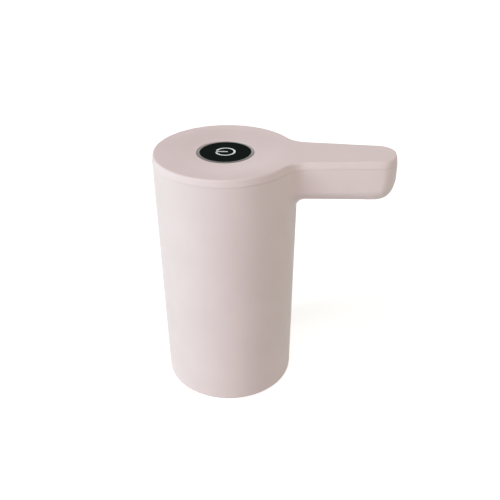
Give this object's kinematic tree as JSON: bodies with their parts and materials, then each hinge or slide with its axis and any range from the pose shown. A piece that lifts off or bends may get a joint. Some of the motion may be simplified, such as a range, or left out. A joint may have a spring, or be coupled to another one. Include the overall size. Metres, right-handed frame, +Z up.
{
  "type": "bottled water pump",
  "caption": "Rechargeable pump that stands on the neck of a large water bottle, with a flat-topped spout arm and a round power button.",
  "frame": {"origin": "under the middle of the bounding box, on the plane that the base rim stands on", "axes": "+Z up, +X from the round body towards the tip of the spout arm, charging port on -X"},
  "size_m": [0.1216, 0.0732, 0.1326],
  "materials": {
    "casing": "satin pale pink",
    "gloss_black": "glossy black",
    "trim_metal": "bright turned metal",
    "light_guide": "milky white",
    "silicone": "translucent white silicone",
    "dark_rubber": "dark grey rubber",
    "dark_plastic": "black moulded plastic",
    "inner_plastic": "pale grey moulded plastic",
    "white_nylon": "white nylon",
    "circuit_board": "green solder mask",
    "steel": "bright steel",
    "copper": "copper",
    "ferrite": "sintered dark grey",
    "cell": "blue shrink wrap",
    "red_wire": "red insulation",
    "black_wire": "black insulation"
  },
  "bodies": {
    "housing": {"body_shell": "casing", "top_cover": "casing", "button_trim_ring": "trim_metal", "button_gasket": "dark_rubber", "switch_body": "dark_plastic", "control_board": "circuit_board", "usb_socket_shell": "steel", "usb_socket_tongue": "dark_plastic", "battery_connector": "white_nylon", "motor_connector": "white_nylon", "led_left": "light_guide", "led_right": "light_guide", "board_screw_1": "steel", "board_screw_2": "steel", "board_screw_3": "steel", "board_screw_4": "steel", "base_plate": "inner_plastic", "neck_gasket": "silicone", "neck_grip_sleeve": "dark_rubber", "base_screw_1": "steel", "base_screw_2": "steel", "base_screw_3": "steel", "clamp_plate": "inner_plastic", "clamp_screw_1": "steel", "clamp_screw_2": "steel", "clamp_screw_3": "steel", "pump_body": "dark_plastic", "pump_cover": "dark_plastic", "idler_pin": "steel", "shaft_seal": "dark_rubber", "inlet_o_ring": "dark_rubber", "pump_screw_1": "steel", "pump_screw_2": "steel", "pump_screw_3": "steel", "pump_screw_4": "steel", "motor_can": "steel", "motor_end_cap": "dark_plastic", "front_bushing": "copper", "magnet_left": "ferrite", "magnet_right": "ferrite", "brush_left": "copper", "brush_right": "copper", "motor_lead_negative": "black_wire", "motor_lead_positive": "red_wire", "battery_cell": "cell", "battery_lead_positive": "red_wire", "battery_lead_negative": "black_wire", "outlet_tube": "silicone", "spout_pipe": "steel", "spout_grommet": "silicone"},
    "button": {"button_cap": "gloss_black", "symbol_light_guide": "light_guide"},
    "switch": {"switch_plunger": "white_nylon"},
    "rotor": {"motor_shaft": "steel", "armature": "copper", "commutator": "copper", "drive_gear": "white_nylon"},
    "idler": {"driven_gear": "white_nylon"}
  },
  "joints": [
    {"name": "button_press", "type": "slide", "parent": "housing", "child": "button", "axis": [0, 0, -1], "range_m": [0, 0.0005], "stiffness_N_per_m": 2000},
    {"name": "switch_press", "type": "slide", "parent": "housing", "child": "switch", "axis": [0, 0, -1], "range_m": [0, 0.0005]},
    {"name": "motor_spin", "type": "hinge", "parent": "housing", "child": "rotor", "pos_m": [-0.01935, -0.005, 0.06], "axis": [0, 0, 1], "continuous": true},
    {"name": "driven_gear_spin", "type": "hinge", "parent": "housing", "child": "idler", "pos_m": [-0.01935, 0.005, 0.0355], "axis": [0, 0, 1], "continuous": true}
  ],
  "couplings": [
    {"joint": "switch_press", "follows": "button_press", "ratio": 1},
    {"joint": "driven_gear_spin", "follows": "motor_spin", "ratio": -1}
  ]
}
